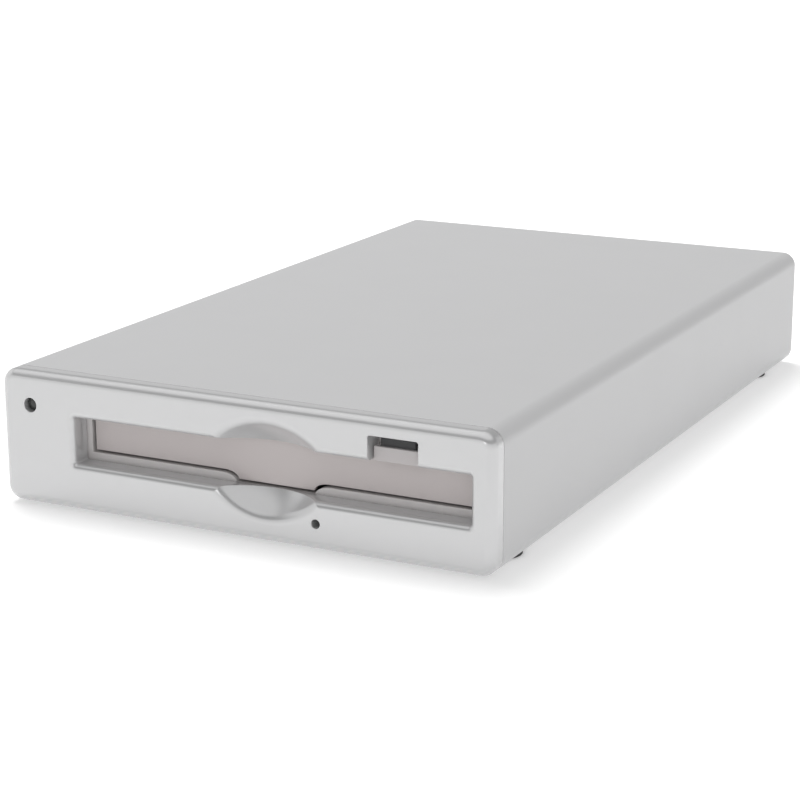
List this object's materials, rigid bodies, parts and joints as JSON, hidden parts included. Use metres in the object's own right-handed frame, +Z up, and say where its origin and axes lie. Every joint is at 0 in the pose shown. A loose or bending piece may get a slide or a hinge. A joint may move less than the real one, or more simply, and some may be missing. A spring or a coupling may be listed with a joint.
{
  "type": "magneto-optical drive",
  "caption": "Slim silver external cartridge disc drive: rounded front with a wide flap-closed slot, dished finger scoop and eject button, full loading and pickup mechanism inside.",
  "frame": {"origin": "on the table under the middle of the case, at the bottom of the feet", "axes": "+X to the right as seen from the front, +Y from the front face to the rear panel, +Z up"},
  "size_m": [0.12, 0.2, 0.031],
  "materials": {
    "case_silver": "satin silver paint",
    "bezel_silver": "satin silver",
    "flap_grey": "matte pinkish grey",
    "zinc_steel": "zinc plated",
    "chromate_steel": "yellow chromate",
    "die_cast": "as cast",
    "turned_alloy": "turned",
    "rear_grey": "matte",
    "foot_rubber": "matte",
    "screw_steel": "plain",
    "spring_steel": "plain",
    "board_green": "solder mask",
    "black_plastic": "moulded",
    "smoke_plastic": "dark translucent",
    "led_green": "translucent",
    "lens_glass": "coated",
    "copper_wire": "enamelled copper",
    "magnet_grey": "nickel plated magnet",
    "white_nylon": "nylon",
    "brass": "turned",
    "cap_blue": "sleeve"
  },
  "bodies": {
    "housing": {"front_bezel": "bezel_silver", "top_cover": "case_silver", "base_plate": "zinc_steel", "rear_panel": "rear_grey", "rubber_feet": "foot_rubber", "case_screws": "screw_steel", "light_pipe": "smoke_plastic", "led_board": "board_green", "status_led": "led_green", "drive_bezel": "flap_grey", "flap_spring": "spring_steel", "button_spring": "spring_steel", "button_bracket": "zinc_steel", "eject_switch": "black_plastic", "drive_chassis": "die_cast", "drive_cover": "zinc_steel", "cover_screws": "screw_steel", "mount_screws": "screw_steel", "gear_bracket": "zinc_steel", "loading_motor": "spring_steel", "spindle_motor": "die_cast", "guide_rails": "screw_steel", "magnet_yokes": "zinc_steel", "drive_magnets": "magnet_grey", "optics_block": "die_cast", "laser_diode": "brass", "photo_detector": "board_green", "bias_coil": "copper_wire", "drive_pcb": "board_green", "drive_chips": "black_plastic", "drive_pcb_screws": "screw_steel", "drive_header": "black_plastic", "bridge_pcb": "board_green", "bridge_chips": "black_plastic", "bridge_connector": "black_plastic", "capacitors": "cap_blue", "pcb_standoffs": "brass", "pcb_screws": "screw_steel", "usb_socket": "zinc_steel", "firewire_sockets": "zinc_steel", "dc_jack": "black_plastic", "switch_housing": "black_plastic"},
    "flap": {"dust_flap": "flap_grey"},
    "eject_button": {"eject_button": "bezel_silver"},
    "loading_slide": {"slide_plate": "chromate_steel"},
    "holder": {"cartridge_holder": "zinc_steel"},
    "idler": {"idler_gear": "white_nylon"},
    "motor_shaft": {"motor_pinion": "brass"},
    "turntable": {"turntable": "turned_alloy"},
    "carriage": {"pickup_carriage": "black_plastic", "voice_coils": "copper_wire"},
    "lens": {"lens_holder": "black_plastic", "objective_lens": "lens_glass"},
    "rocker": {"power_rocker": "black_plastic"}
  },
  "joints": [
    {"name": "flap_hinge", "type": "hinge", "parent": "housing", "child": "flap", "pos_m": [0.0068, -0.0935, 0.0222], "axis": [1, 0, 0], "range_deg": [0, 82], "stiffness_Nm_per_rad": 0.002, "springref_deg": -20.05, "deforming": ["flap_spring"]},
    {"name": "eject_press", "type": "slide", "parent": "housing", "child": "eject_button", "axis": [0, 1, 0], "range_m": [0, 0.0015], "stiffness_N_per_m": 300, "springref_m": -0.001, "deforming": ["button_spring"]},
    {"name": "load_slide", "type": "slide", "parent": "housing", "child": "loading_slide", "axis": [0, -1, 0], "range_m": [-0.0056, 0]},
    {"name": "holder_drop", "type": "slide", "parent": "housing", "child": "holder", "axis": [0, 0, 1], "range_m": [-0.0028, 0]},
    {"name": "idler_turn", "type": "hinge", "parent": "housing", "child": "idler", "pos_m": [0.03983, 0.014, 0.023], "axis": [0, 0, 1], "range_deg": [-107, 0]},
    {"name": "motor_turn", "type": "hinge", "parent": "housing", "child": "motor_shaft", "pos_m": [0.04692, 0.02109, 0.023], "axis": [0, 0, 1], "range_deg": [0, 321]},
    {"name": "disc_spin", "type": "hinge", "parent": "housing", "child": "turntable", "pos_m": [0.0068, -0.0435, 0.0115], "axis": [0, 0, 1], "continuous": true},
    {"name": "seek", "type": "slide", "parent": "housing", "child": "carriage", "axis": [0, 1, 0], "range_m": [0, 0.016]},
    {"name": "focus", "type": "slide", "parent": "carriage", "child": "lens", "axis": [0, 0, 1], "range_m": [-0.0004, 0.0004], "stiffness_N_per_m": 50},
    {"name": "power_rock", "type": "hinge", "parent": "housing", "child": "rocker", "pos_m": [0.031, 0.0968, 0.017], "axis": [0, 0, 1], "range_deg": [0, 16]}
  ],
  "couplings": [
    {"joint": "holder_drop", "follows": "load_slide", "ratio": 0.5},
    {"joint": "idler_turn", "follows": "load_slide", "rad_per_m": 333.33},
    {"joint": "motor_turn", "follows": "load_slide", "rad_per_m": -1000}
  ]
}
